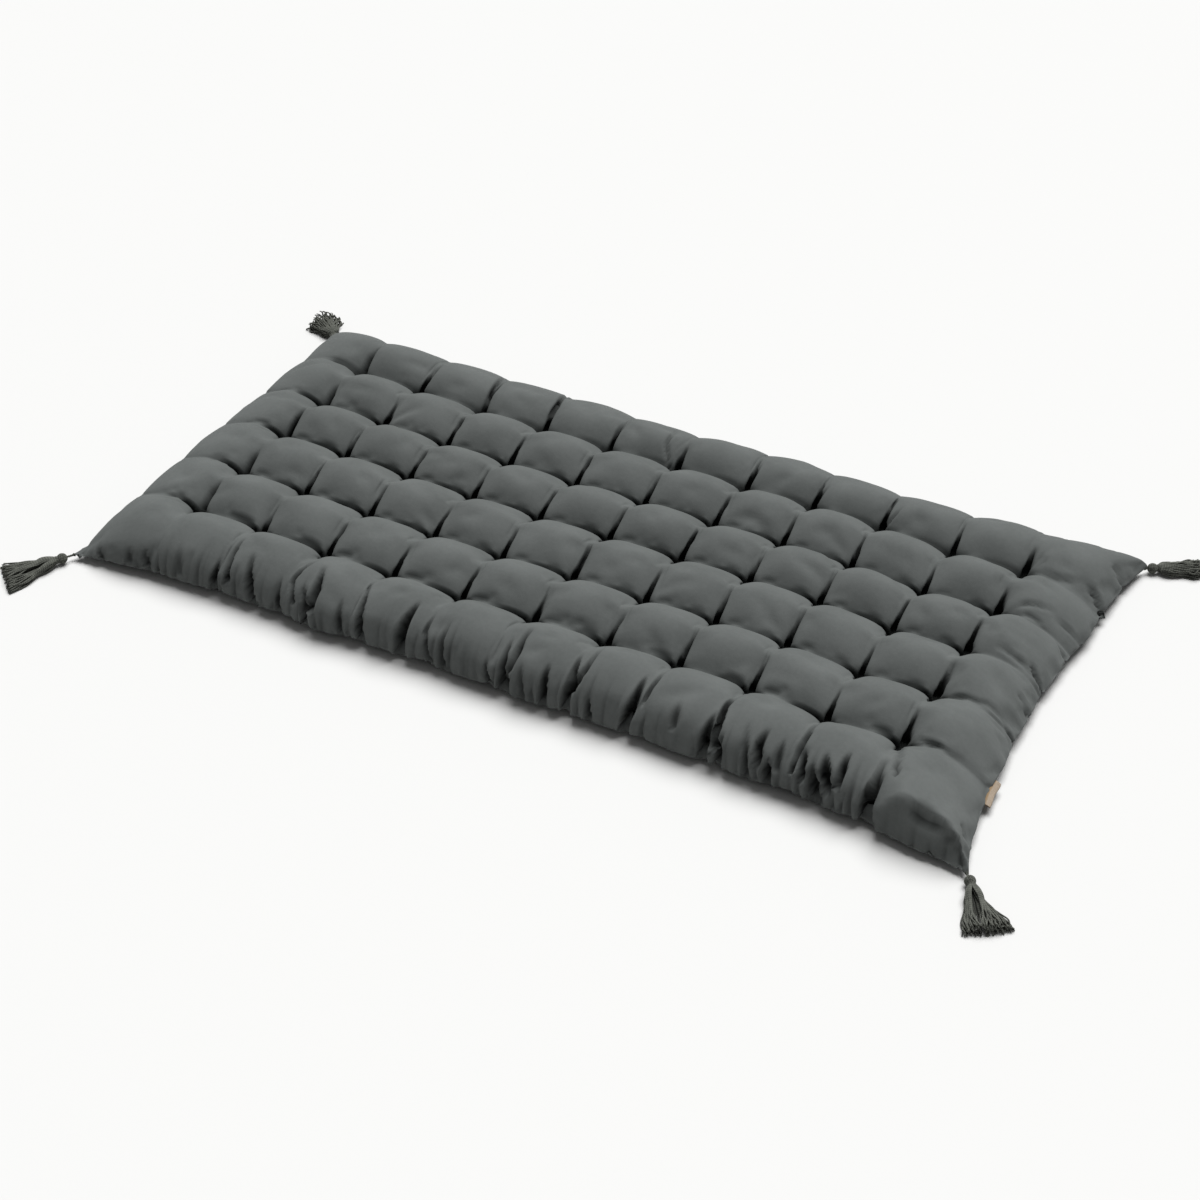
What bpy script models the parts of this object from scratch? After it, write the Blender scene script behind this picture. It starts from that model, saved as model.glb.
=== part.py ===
"""Tufted floor mattress with a tassel at each corner and a small label in its side seam.

The mattress is one filled cloth solid of 12 by 6 cells, tied through at 11 by 5 tufts. Each tassel is a
yarn head with a stem, a shoulder and a skirt of locks, and a wound band sits around its neck. All of it
lies on the floor, at z = 0. Lengths are in metres, and the frame's origin is on the floor under the centre
of the whole outline, tassels included.
"""

import math

import bmesh
import bpy
from mathutils import Vector

MM = 0.001
TOUCHING_GAP = 0.3 * MM

# The mattress. A cell is the square between four tufts, and the outer cells end at the seam.
CELLS_LONG = 12
CELLS_WIDE = 6
TUFT_PITCH = 97 * MM
HALF_LENGTH = 590 * MM
HALF_WIDTH = 291 * MM
CREST_HEIGHT = 74 * MM
SADDLE_HEIGHT = 59 * MM
PIT_HEIGHT = 41 * MM
UNDERSIDE_PIT_HEIGHT = 25 * MM
UNDERSIDE_SADDLE_HEIGHT = 12 * MM
UNDERSIDE_CREST_DEPTH = -7 * MM
SEAM_HEIGHT = 14 * MM
SEAM_SCALLOP = 3 * MM
WALL_BULGE = 8 * MM
CREASE_SHARPNESS = 2.6
EAR_SHARPNESS = 6

# How upright each side's wall is, and how much of a crease between two cells is left at its seam.
WALLS = {
    "front": {"upright": 3.8, "crease": 0.8},
    "back": {"upright": 2.8, "crease": 0.35},
    "left": {"upright": 2.1, "crease": 0.35},
    "right": {"upright": 3.0, "crease": 0.4},
}

# Where the rows of points lie across an inner cell, and from tuft to seam across an outer one.
INNER_STEPS = (0.0, 0.09, 0.29, 0.5, 0.71, 0.91)
OUTER_STEPS = (0.0, 0.1, 0.36, 0.64, 0.85, 0.96)
STEPS = len(INNER_STEPS)

# How far each tuft column and row was pulled from the even grid, in millimetres.
COLUMN_DRIFT_MM = {
    "along": (2, -2, 0, -2, -1, 0, 3, 0, -2, 2, -1),
    "across": (2, 1, -3, -3, -3, 1, 2, 5, 4, -5, -2),
}
ROW_DRIFT_MM = {
    "along": (1, 0, -2, 1, 0),
    "across": (-3, 1, 5, -1, -2),
}

# How far the seam stands out at the middle of each outer cell, in millimetres, from left to right or
# front to back. Then the corner ears: how far each one's tip reaches past the sides and how high it is, in
# millimetres, and the share of the filling's thickness that it loses towards its tip.
SEAM_SWELL_MM = {
    "front": (12, 7, 4, 13, 6, 7, 12, 9, 11, 15, 16, 30),
    "back": (4, 0, 0, -2, 2, -9, -2, 4, -2, -6, 6, 5),
    "left": (-10, -8, -5, -8, -6, -10),
    "right": (4, 6, 0, 0, 6, 3),
}
EARS = {
    "front_left": {"along": 8, "across": 23, "height": 8, "thinning": 0.6},
    "front_right": {"along": 35, "across": 45, "height": 7, "thinning": 0.6},
    "back_right": {"along": 12, "across": 44, "height": 9, "thinning": 0.5},
    "back_left": {"along": 11, "across": 23, "height": 8.5, "thinning": 0.15},
}

# The tassels, in millimetres but for the way each one points: how far its locks fan out, how much longer
# they are on its left side than on its right, and how high they lie at their ends.
TASSELS = {
    "front_left": {"degrees": -120, "stem": 11, "skirt": 60, "fan": 60, "slant": 14, "pile": 15},
    "front_right": {"degrees": -53, "stem": 8, "skirt": 66, "fan": 62, "slant": 0, "pile": 16},
    "back_right": {"degrees": 31, "stem": 4, "skirt": 58, "fan": 27, "slant": -6, "pile": 19},
    "back_left": {"degrees": 140, "stem": 2, "skirt": 46, "fan": 48, "slant": 0, "pile": 22},
}
HEAD_RADIUS = 6.8 * MM
NECK_RADIUS = 4.2 * MM
SHOULDER_RADIUS = 7.0 * MM
STEM_RADIUS = 1.5 * MM
KNOT_RADIUS = 2.5 * MM
KNOT_LENGTH = 3 * MM
TASSEL_AXIS_HEIGHT = 8 * MM
NECK_LENGTH = 4.4 * MM
NECK_OVERLAP = 1 * MM
SHOULDER_LENGTH = 7 * MM
HEAD_SIDES = 14
LOCK_LAYERS = 3
LOCKS_PER_LAYER = 9
LOCK_JOINTS = 3
LOCK_FILL = 0.8
LOCK_SPREAD = 0.7
LOCK_WAVE = 1.2 * MM
ROOT_DEPTH = 2 * MM
BAND_RADIUS = 5.8 * MM
BAND_TURNS = 2
BAND_GROOVE = 0.6 * MM

# The label is folded double and stands out of the right seam near the front corner.
LABEL_LENGTH = 45 * MM
LABEL_REACH = 9 * MM
LABEL_THICKNESS = 1.4 * MM
LABEL_MIDDLE_Y = -199 * MM
LABEL_STEPS = 5

# The mattress's centre, seen from the centre of the whole outline.
MATTRESS_CENTRE = Vector((-17.5 * MM, 21.5 * MM, 0))


def clear_scene():
    for thing in list(bpy.data.objects):
        bpy.data.objects.remove(thing)


def cloth_material(name, colour, roughness):
    material = bpy.data.materials.new(name)
    material.use_nodes = True
    shader = material.node_tree.nodes["Principled BSDF"]
    shader.inputs["Base Color"].default_value = (*colour, 1)
    shader.inputs["Roughness"].default_value = roughness
    shader.inputs["Metallic"].default_value = 0
    return material


def add_object(name, mesh, material, parent):
    thing = bpy.data.objects.new(name, mesh)
    mesh.materials.append(material)
    thing.parent = parent
    bpy.context.scene.collection.objects.link(thing)
    return thing


def smooth_shade(mesh, angle_degrees):
    mesh.shade_smooth()
    mesh.set_sharp_from_angle(angle=math.radians(angle_degrees))


def between(table, place):
    """The table's value at a place between its entries, level past its ends."""
    place = min(max(place, 0), len(table) - 1)
    low = min(int(place), len(table) - 2)
    share = place - low
    return table[low] * (1 - share) + table[low + 1] * share


def cell_places(cells):
    """Places along one side of the grid, in cells: outer cells are finer towards the seam."""
    places = []
    for cell in range(cells):
        for step in range(STEPS):
            if cell == 0:
                places.append(1 - (OUTER_STEPS + (1.0,))[STEPS - step])
            elif cell == cells - 1:
                places.append(cell + OUTER_STEPS[step])
            else:
                places.append(cell + INNER_STEPS[step])
    return places + [cells]


def seam_offset(side, place, cells):
    """How far the seam stands past the even outline, for a place along that side."""
    swell = between(SEAM_SWELL_MM[side], place - 0.5) * MM
    scallop = SEAM_SCALLOP * (abs(math.sin(math.pi * place)) - 0.6)
    nearest_corner = min(place, cells - place)
    return swell + scallop * min(1, nearest_corner / 0.8)


def nearest_sides(along, across):
    end = "left" if along < CELLS_LONG / 2 else "right"
    edge = "front" if across < CELLS_WIDE / 2 else "back"
    return end, edge


def nearest_ear(along, across):
    end, edge = nearest_sides(along, across)
    return EARS[edge + "_" + end]


def corner_share(place, cells):
    """0 in the middle of the mattress and 1 at its two far sides."""
    return abs(2 * place / cells - 1)


def outline_reach(along, across):
    """Half sizes at this place: (towards the left or right side, towards the front or back side)."""
    end, edge = nearest_sides(along, across)
    ear = nearest_ear(along, across)
    near_end = corner_share(along, CELLS_LONG) ** (2 * EAR_SHARPNESS)
    near_edge = corner_share(across, CELLS_WIDE) ** EAR_SHARPNESS
    reach_x = HALF_LENGTH + seam_offset(end, across, CELLS_WIDE) * (1 - near_edge)
    reach_y = HALF_WIDTH + seam_offset(edge, along, CELLS_LONG) * (1 - near_end)
    return reach_x + ear["along"] * MM * near_edge, reach_y + ear["across"] * MM * near_end


def tuft_drift(along, across):
    """The pull on the tufts near this place, fading out over the outer cells."""
    fade = min(1, along, CELLS_LONG - along) * min(1, across, CELLS_WIDE - across)
    shift_x = between(COLUMN_DRIFT_MM["along"], along - 1) + between(ROW_DRIFT_MM["along"], across - 1)
    shift_y = between(COLUMN_DRIFT_MM["across"], along - 1) + between(ROW_DRIFT_MM["across"], across - 1)
    return shift_x * MM * fade, shift_y * MM * fade


def side_share(place, cells):
    """0 at the tufts and inside them, growing to 1 at the seam."""
    return max(0, 1 - place, place - (cells - 1))


def spread(place, cells, reach):
    """A coordinate in metres for a place in cells: even between the tufts, then out to the seam."""
    middle = cells / 2
    inside = min(max(place, 1), cells - 1) - middle
    outer = side_share(place, cells)
    last_tuft = (middle - 1) * TUFT_PITCH
    return inside * TUFT_PITCH + math.copysign(outer * (reach - last_tuft), place - middle)


def blunted(along, across):
    """Brings the outermost place of a corner in, halfway to the places next to it, so no ear ends in a needle."""
    step_in = (1 - OUTER_STEPS[-1]) / 2
    if along in (0, CELLS_LONG) and across in (0, CELLS_WIDE):
        return abs(along - step_in), abs(across - step_in)
    return along, across


def plan_point(along, across):
    along, across = blunted(along, across)
    reach_x, reach_y = outline_reach(along, across)
    shift_x, shift_y = tuft_drift(along, across)
    x = spread(along, CELLS_LONG, reach_x) + shift_x
    y = spread(across, CELLS_WIDE, reach_y) + shift_y
    return x, y


def puff(place, cells):
    """0 on the line of a tuft, 1 in the middle of a cell, and still full at the seam of an outer one."""
    outer = side_share(place, cells)
    if outer > 0.5:
        return 1
    share = place - math.floor(place) if outer == 0 else outer
    return 1 - abs(2 * share - 1) ** CREASE_SHARPNESS


def wall_on(place, cells, before, after):
    """The wall that this place is nearer to, of the two that face each other."""
    return WALLS[before if place < cells / 2 else after]


def crease_fade(place, cells, before, after):
    """How much is left here of a crease that runs out to the sides before and after."""
    return 1 - side_share(place, cells) * (1 - wall_on(place, cells, before, after)["crease"])


def cell_puffs(along, across):
    """How full the cell is here, along each of its two ways: 0 in a crease and 1 on its crown."""
    to_front_or_back = crease_fade(across, CELLS_WIDE, "front", "back")
    to_left_or_right = crease_fade(along, CELLS_LONG, "left", "right")
    puff_x = 1 - (1 - puff(along, CELLS_LONG)) * to_front_or_back
    puff_y = 1 - (1 - puff(across, CELLS_WIDE)) * to_left_or_right
    return puff_x, puff_y


def one_wall_drop(place, cells, before, after):
    return (1 - side_share(place, cells) ** wall_on(place, cells, before, after)["upright"]) ** 0.5


def near_tip(along, across):
    """1 at the tip of a corner ear, fading to 0 over the corner's cell."""
    near_end = corner_share(along, CELLS_LONG) ** (2 * EAR_SHARPNESS)
    return near_end * corner_share(across, CELLS_WIDE) ** EAR_SHARPNESS


def wall_drop(along, across):
    """1 inside, falling to 0 at the seam as the side of a stuffed edge does, thinner in the ears."""
    over_ends = one_wall_drop(along, CELLS_LONG, "left", "right")
    over_sides = one_wall_drop(across, CELLS_WIDE, "front", "back")
    thinning = nearest_ear(along, across)["thinning"]
    return over_ends * over_sides * (1 - thinning * near_tip(along, across))


def pillow_height(puff_x, puff_y, pit, saddle, crest):
    rise = saddle - pit
    return pit + rise * (puff_x + puff_y) + (crest - pit - 2 * rise) * puff_x * puff_y


def seam_height(along, across):
    tip = nearest_ear(along, across)["height"] * MM
    return SEAM_HEIGHT + (tip - SEAM_HEIGHT) * near_tip(along, across)


def upper_point(along, across):
    x, y = plan_point(along, across)
    puff_x, puff_y = cell_puffs(along, across)
    drop = wall_drop(along, across)
    seam = seam_height(along, across)
    top = pillow_height(puff_x, puff_y, PIT_HEIGHT, SADDLE_HEIGHT, CREST_HEIGHT)
    bulge = WALL_BULGE * math.sin(math.pi * drop)
    x += math.copysign(bulge * side_share(along, CELLS_LONG) ** 2, x)
    y += math.copysign(bulge * side_share(across, CELLS_WIDE) ** 2, y)
    return Vector((x, y, seam + (top - seam) * drop))


def under_point(along, across):
    x, y = plan_point(along, across)
    puff_x, puff_y = cell_puffs(along, across)
    drop = wall_drop(along, across)
    seam = seam_height(along, across)
    low = pillow_height(puff_x, puff_y, UNDERSIDE_PIT_HEIGHT, UNDERSIDE_SADDLE_HEIGHT, UNDERSIDE_CREST_DEPTH)
    return Vector((x, y, max(0, seam + (low - seam) * drop)))


def panel(bm, point_at, faces_up):
    """One side of the mattress: a grid of points laid on the form that point_at gives."""
    columns, rows = cell_places(CELLS_LONG), cell_places(CELLS_WIDE)
    grid = bmesh.ops.create_grid(bm, x_segments=len(columns) - 1, y_segments=len(rows) - 1, size=0.5)
    for vertex in grid["verts"]:
        column = round((vertex.co.x + 0.5) * (len(columns) - 1))
        row = round((vertex.co.y + 0.5) * (len(rows) - 1))
        vertex.co = point_at(columns[column], rows[row])
    if not faces_up:
        faces = {face for vertex in grid["verts"] for face in vertex.link_faces}
        bmesh.ops.reverse_faces(bm, faces=list(faces))


def build_mattress(cotton, parent):
    bm = bmesh.new()
    panel(bm, upper_point, True)
    panel(bm, under_point, False)
    rim = [vertex for vertex in bm.verts if vertex.is_boundary]
    bmesh.ops.remove_doubles(bm, verts=rim, dist=0.01 * MM)
    mesh = bpy.data.meshes.new("mattress")
    bm.to_mesh(mesh)
    bm.free()
    smooth_shade(mesh, 60)
    return add_object("mattress", mesh, cotton, parent)


def finished_mesh(bm, name):
    bmesh.ops.recalc_face_normals(bm, faces=bm.faces)
    mesh = bpy.data.meshes.new(name)
    bm.to_mesh(mesh)
    bm.free()
    return mesh


def turned_mesh(name, profile, is_ring):
    """A closed solid turned about +X from (distance along X, radius) pairs.

    A ring's profile is a loop clear of the axis, and any other starts and ends on it.
    """
    bm = bmesh.new()
    points = [bm.verts.new((along, 0, radius)) for along, radius in profile]
    edges = [bm.edges.new(pair) for pair in zip(points, points[1:])]
    if is_ring:
        edges.append(bm.edges.new((points[-1], points[0])))
    bmesh.ops.spin(
        bm, geom=points + edges, axis=(1, 0, 0), cent=(0, 0, 0), angle=math.tau, steps=HEAD_SIDES, use_merge=True
    )
    bmesh.ops.remove_doubles(bm, verts=bm.verts, dist=0.01 * MM)
    mesh = finished_mesh(bm, name)
    smooth_shade(mesh, 40)
    return mesh


def head_profile(stem):
    """Knot at the corner, stem, round head, drawn-in neck and shoulder.

    Also says where the neck starts and where the shoulder ends.
    """
    profile = [(0, 0), (KNOT_LENGTH / 2, KNOT_RADIUS), (KNOT_LENGTH, STEM_RADIUS)]
    for turn in (20, 50, 80, 110, 140):
        angle = math.radians(turn)
        distance = stem + HEAD_RADIUS * (1 - math.cos(angle))
        profile.append((distance, max(HEAD_RADIUS * math.sin(angle), STEM_RADIUS)))
    neck_start = stem + 2 * HEAD_RADIUS - NECK_OVERLAP
    neck_end = neck_start + NECK_LENGTH
    shoulder_end = neck_end + SHOULDER_LENGTH
    profile += [(neck_start, NECK_RADIUS), (neck_end, NECK_RADIUS)]
    profile += [(neck_end + 0.5 * SHOULDER_LENGTH, 0.9 * SHOULDER_RADIUS)]
    profile += [(shoulder_end, SHOULDER_RADIUS), (shoulder_end, 0)]
    return profile, neck_start, shoulder_end


def add_bar(bm, sections):
    """A closed bar through its sections, which are lists of as many points each."""
    rings = [[bm.verts.new(point) for point in section] for section in sections]
    bm.faces.new(rings[0])
    bm.faces.new(list(reversed(rings[-1])))
    for near, far in zip(rings, rings[1:]):
        for side in range(len(near)):
            following = (side + 1) % len(near)
            bm.faces.new((near[side], far[side], far[following], near[following]))


def lock_sections(size, layer, lock, root_x, floor_z):
    """Three-sided sections of one lock, flat side down, from inside the shoulder to its end on the floor."""
    layer_height = size["pile"] * MM / LOCK_LAYERS
    layer_fan = size["fan"] * MM * (1 - 0.12 * layer)
    level = 2 * layer / (LOCK_LAYERS - 1) - 1
    root_z = level * 0.6 * SHOULDER_RADIUS
    root_half_width = 0.78 * math.sqrt(SHOULDER_RADIUS**2 - root_z**2)
    end_z = floor_z + (layer + LOCK_FILL / 2) * layer_height
    across = (2 * lock + 1) / LOCKS_PER_LAYER - 1
    unevenness = 1 - 0.14 * across * across - 0.05 * ((lock + layer) % 3)
    length = size["skirt"] * MM * unevenness + size["slant"] / 2 * MM * across
    for joint in range(LOCK_JOINTS + 1):
        share = joint / LOCK_JOINTS
        flare = share**0.8
        half_width = root_half_width * (1 - flare) + layer_fan / 2 * flare
        width = 2 * half_width / LOCKS_PER_LAYER * LOCK_SPREAD
        height = 0.34 * SHOULDER_RADIUS * (1 - flare) + layer_height * LOCK_FILL * flare
        x = root_x - ROOT_DEPTH + (ROOT_DEPTH + length) * share
        y = across * half_width + LOCK_WAVE * math.sin(3.1 * share + 1.7 * layer) * share
        z = root_z * (1 - flare) + end_z * flare
        if layer == 0:
            z = max(z, floor_z + height / 2)
        yield [(x, y - width / 2, z - height / 2), (x, y + width / 2, z - height / 2), (x, y, z + height / 2)]


def skirt_mesh(size, root_x, floor_z):
    """The locks of one tassel, standing apart from each other."""
    bm = bmesh.new()
    for layer in range(LOCK_LAYERS):
        for lock in range(LOCKS_PER_LAYER):
            add_bar(bm, lock_sections(size, layer, lock, root_x, floor_z))
    return finished_mesh(bm, "skirt")


def band_profile(start):
    """The wound neck band in section: a bore that clears the neck, and a ridge for each turn."""
    inner = NECK_RADIUS + TOUCHING_GAP
    length = NECK_LENGTH - 2 * TOUCHING_GAP
    turn_length = length / BAND_TURNS
    profile = [(start, inner)]
    for turn in range(BAND_TURNS):
        left = start + turn * turn_length
        profile += [(left + 0.25 * turn_length, BAND_RADIUS), (left + 0.75 * turn_length, BAND_RADIUS)]
        if turn < BAND_TURNS - 1:
            profile.append((left + turn_length, BAND_RADIUS - BAND_GROOVE))
    return profile + [(start + length, inner)]


def build_tassel(name, yarn, parent):
    """Head and skirt in one solid, on an empty at the tip of its corner, and the band around its neck."""
    size = TASSELS[name]
    along = 0 if name.endswith("left") else CELLS_LONG
    across = 0 if name.startswith("front") else CELLS_WIDE
    tip = upper_point(along, across)
    heading = math.radians(size["degrees"])
    corner = bpy.data.objects.new("corner_" + name, None)
    bpy.context.scene.collection.objects.link(corner)
    corner.parent = parent
    corner.rotation_euler = (0, 0, heading)
    away = Vector((math.cos(heading), math.sin(heading), 0)) * TOUCHING_GAP
    corner.location = Vector((tip.x, tip.y, TASSEL_AXIS_HEIGHT)) + away

    profile, neck_start, shoulder_end = head_profile(size["stem"] * MM)
    head = turned_mesh("tassel_" + name, profile, is_ring=False)
    tassel = add_object("tassel_" + name, head, yarn, corner)

    skirt = bpy.data.objects.new("skirt_" + name, skirt_mesh(size, shoulder_end, -TASSEL_AXIS_HEIGHT))
    bpy.context.scene.collection.objects.link(skirt)
    skirt.parent = corner
    skirt.hide_render = True
    skirt.display_type = "WIRE"
    fuse = tassel.modifiers.new("fuse_skirt", "BOOLEAN")
    fuse.operation = "UNION"
    fuse.object = skirt

    band = turned_mesh("band_" + name, band_profile(neck_start + TOUCHING_GAP), is_ring=True)
    add_object("band_" + name, band, yarn, corner)


def seam_x(y):
    """Where the right seam runs at this y, found by stepping along its edge."""
    steps = 100
    places = [step / steps * CELLS_WIDE for step in range(steps + 1)]
    points = [upper_point(CELLS_LONG, place) for place in places]
    after = next(index for index, point in enumerate(points) if point.y >= y)
    low, high = points[after - 1], points[after]
    share = (y - low.y) / (high.y - low.y)
    return low.x * (1 - share) + high.x * share


def label_sections():
    """The folded tape in section, at places along the seam, which it bows with."""
    half = LABEL_THICKNESS / 2
    for step in range(LABEL_STEPS + 1):
        y = LABEL_MIDDLE_Y + (step / LABEL_STEPS - 0.5) * LABEL_LENGTH
        start = seam_x(y) + TOUCHING_GAP
        fold = start + LABEL_REACH
        outline = [(start, -half), (fold - half, -half), (fold, 0), (fold - half, half), (start, half)]
        yield [(x, y, SEAM_HEIGHT + z) for x, z in outline]


def build_label(tape, parent):
    bm = bmesh.new()
    add_bar(bm, label_sections())
    return add_object("label", finished_mesh(bm, "label"), tape, parent)


def main():
    clear_scene()
    cotton = cloth_material("grey_cotton", (0.115, 0.123, 0.120), 0.85)
    yarn = cloth_material("grey_yarn", (0.090, 0.096, 0.090), 0.9)
    tape = cloth_material("tan_tape", (0.30, 0.21, 0.14), 0.8)
    centre = bpy.data.objects.new("mattress_centre", None)
    bpy.context.scene.collection.objects.link(centre)
    centre.location = MATTRESS_CENTRE
    build_mattress(cotton, centre)
    for name in TASSELS:
        build_tassel(name, yarn, centre)
    build_label(tape, centre)


main()
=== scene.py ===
# Tufted floor mattress with a yarn tassel at each corner: the looks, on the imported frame
import math
import random

import bpy
import numpy as np
from mathutils import Matrix, Vector


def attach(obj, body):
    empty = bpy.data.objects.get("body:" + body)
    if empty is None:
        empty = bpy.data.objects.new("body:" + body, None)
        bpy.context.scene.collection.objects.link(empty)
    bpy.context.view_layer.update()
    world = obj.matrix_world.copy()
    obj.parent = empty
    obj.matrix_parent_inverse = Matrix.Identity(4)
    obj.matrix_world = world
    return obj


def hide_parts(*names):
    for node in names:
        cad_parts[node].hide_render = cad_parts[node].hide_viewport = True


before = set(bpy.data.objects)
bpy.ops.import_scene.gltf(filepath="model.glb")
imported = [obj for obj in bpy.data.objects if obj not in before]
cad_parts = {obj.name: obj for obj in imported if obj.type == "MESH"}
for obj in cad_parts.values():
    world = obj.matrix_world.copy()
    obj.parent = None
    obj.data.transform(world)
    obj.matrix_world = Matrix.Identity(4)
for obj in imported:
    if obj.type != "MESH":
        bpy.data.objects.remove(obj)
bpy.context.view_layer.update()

mm = 0.001
bpy.ops.object.select_all(action="DESELECT")


# Camera at the photograph's angle
view = {
    "place": (1.3067, -2.6020, 2.0204),
    "right": (0.88435, 0.46632, 0.02182),
    "up": (-0.28418, 0.50067, 0.81766),
    "back": (0.37037, -0.72929, 0.57529),
    "lens": 84.4,  # mm, on a 36 mm sensor
}


def addCamera():
    bpy.ops.object.camera_add()
    camera = bpy.context.object
    camera.name = "photoCamera"
    columns = zip(view["right"], view["up"], view["back"], view["place"])
    camera.matrix_world = Matrix([*columns, (0, 0, 0, 1)])
    camera.data.lens = view["lens"]
    camera.data.sensor_width = 36
    camera.data.clip_end = 30
    bpy.context.scene.camera = camera


addCamera()
print("camera set")


# Helpers for materials and meshes
def linear(hexColour):
    parts = [int(hexColour[i:i + 2], 16) / 255 for i in (1, 3, 5)]
    return [p / 12.92 if p <= 0.04045 else ((p + 0.055) / 1.055) ** 2.4 for p in parts] + [1]


def addNode(tree, kind, settings=(), values=(), links=()):
    node = tree.nodes.new("ShaderNode" + kind)
    for name, value in dict(settings).items():
        setattr(node, name, value)
    for name, value in dict(values).items():
        node.inputs[name].default_value = value
    for name, source in dict(links).items():
        tree.links.new(source, node.inputs[name])
    return node


def newMaterial(name):
    material = bpy.data.materials.new(name)
    material.use_nodes = True
    material.node_tree.nodes.clear()
    return material, material.node_tree


def finishMaterial(tree, colour, normal, roughness, sheen, sheenTint):
    values = {
        "Roughness": roughness, "IOR": 1.45, "Specular IOR Level": 0.18,
        "Sheen Weight": sheen, "Sheen Roughness": 0.55, "Sheen Tint": linear(sheenTint),
    }
    shader = addNode(tree, "BsdfPrincipled", {}, values, {"Base Color": colour, "Normal": normal})
    addNode(tree, "OutputMaterial", links={"Surface": shader.outputs[0]})


# The three shades of a dye, from the deepest to the palest, laid over a pattern
def dyeShades(tree, pattern, finish):
    node = addNode(tree, "ValToRGB", links={"Fac": pattern})
    elements = node.color_ramp.elements
    elements.new(0.5)
    for element, place, colour in zip(elements, finish["shadeAt"], finish["colours"]):
        element.position = place
        element.color = linear(colour)
    return node.outputs["Color"]


# That colour, darker where the mesh's own attribute says so
def darkened(tree, ground, attribute, hexColour, strength=1):
    share = addNode(tree, "Attribute", {"attribute_name": attribute}).outputs["Fac"]
    share = addNode(tree, "Math", {"operation": "MULTIPLY"}, {1: strength}, {0: share}).outputs[0]
    values, links = {7: linear(hexColour)}, {0: share, 6: ground}
    return addNode(tree, "Mix", {"data_type": "RGBA"}, values, links).outputs[2]


def factOf(mesh, name):
    values = np.empty(len(mesh.vertices))
    mesh.attributes[name].data.foreach_get("value", values)
    return values


def setFact(mesh, name, values):
    mesh.attributes.new(name, "FLOAT", "POINT").data.foreach_set("value", values)


def placesOf(mesh, what="co"):
    flat = np.empty(len(mesh.vertices) * 3)
    mesh.vertices.foreach_get(what, flat)
    return flat.reshape(-1, 3)


def setPlaces(mesh, places):
    mesh.vertices.foreach_set("co", np.ascontiguousarray(places).ravel())
    mesh.update()


# Lays a piece's weave or ribs along it: each point's metres along and across its cloth
def layCloth(mesh, cloth):
    corners = np.empty(len(mesh.loops), int)
    mesh.loops.foreach_get("vertex_index", corners)
    mesh.uv_layers[0].name = "cloth"
    mesh.uv_layers[0].data.foreach_set("uv", cloth[corners].ravel())


def dressPiece(piece, material, slot, *nodes):
    piece.data.materials.append(material)
    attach(piece, "root")
    if nodes:
        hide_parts(*nodes)


# Plain-woven cotton, piece-dyed dark grey: dull, with a fine thread grid and a slight bloom of lint
cottonFinish = {
    "colours": ("#4F5251", "#575A59", "#5E6160"),  # deeper and paler patches of the dye
    "shadeAt": (0.25, 0.5, 0.75),
    "threadMm": 0.7,  # a real thread is about 0.35 mm, drawn twice as coarse so that it shows close up
    "paintedCreaseShadeColour": "#171918",  # painted shade: the colour deep in the creases
    "creaseShade": 0.92,
    "mottleMm": 55,
    "slubMm": 6,
    "roughness": 0.92,
}


def cottonMaterial():
    material, tree = newMaterial("piece_dyed_cotton_plain_weave")
    cloth = addNode(tree, "UVMap", {"uv_map": "cloth"}).outputs[0]  # metres along the cloth
    place = addNode(tree, "TexCoord").outputs["Object"]
    bands = {"wave_type": "BANDS", "bands_direction": "X", "wave_profile": "SIN"}
    threads = {
        "Scale": math.tau / (20 * cottonFinish["threadMm"] * mm),
        "Distortion": 1.2, "Detail": 1.0, "Detail Scale": 1.5,
    }
    waves = []
    for turn in (0, math.pi / 2):
        turned = addNode(tree, "Mapping", {}, {"Rotation": (0, 0, turn)}, {"Vector": cloth})
        wave = addNode(tree, "TexWave", bands, threads, {"Vector": turned.outputs[0]})
        waves.append(wave.outputs["Fac"])
    weave = addNode(tree, "Math", {"operation": "MAXIMUM"}, {}, {0: waves[0], 1: waves[1]}).outputs[0]
    slubFacts = {"Scale": 1 / (cottonFinish["slubMm"] * mm), "Detail": 6.0, "Roughness": 0.65}
    slubs = addNode(tree, "TexNoise", {}, slubFacts, {"Vector": cloth}).outputs["Fac"]
    mottleFacts = {"Scale": 1 / (cottonFinish["mottleMm"] * mm), "Detail": 3.0, "Roughness": 0.5}
    mottle = addNode(tree, "TexNoise", {}, mottleFacts, {"Vector": place}).outputs["Fac"]
    blend = addNode(tree, "Mix", {"data_type": "FLOAT"}, {"Factor": 0.35}, {2: mottle, 3: slubs}).outputs[0]
    ground = dyeShades(tree, blend, cottonFinish)
    # Painted shade: the cloth goes darker the deeper it lies in its folds, tucks and pits
    colour = darkened(tree, ground, "paintedCreaseShade", cottonFinish["paintedCreaseShadeColour"], cottonFinish["creaseShade"])
    fine = addNode(tree, "Bump", {}, {"Strength": 0.25, "Distance": 0.12 * mm}, {"Height": weave})
    softLinks = {"Height": slubs, "Normal": fine.outputs[0]}
    soft = addNode(tree, "Bump", {}, {"Strength": 0.35, "Distance": 0.6 * mm}, softLinks)
    finishMaterial(tree, colour, soft.outputs[0], cottonFinish["roughness"], 0.12, "#8C908E")
    return material


# Two-ply cotton yarn, dyed with the cover: hairy and matte, with a visible twist
yarnFinish = {
    "colours": ("#3C3D3A", "#565852", "#70726B"),
    "shadeAt": (0.15, 0.5, 0.85),
    "innerPaintedShadeColour": "#161715",  # painted shade between the yarns, where no light comes
    "twistMm": 3.2,
    "roughness": 0.95,
}


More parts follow.
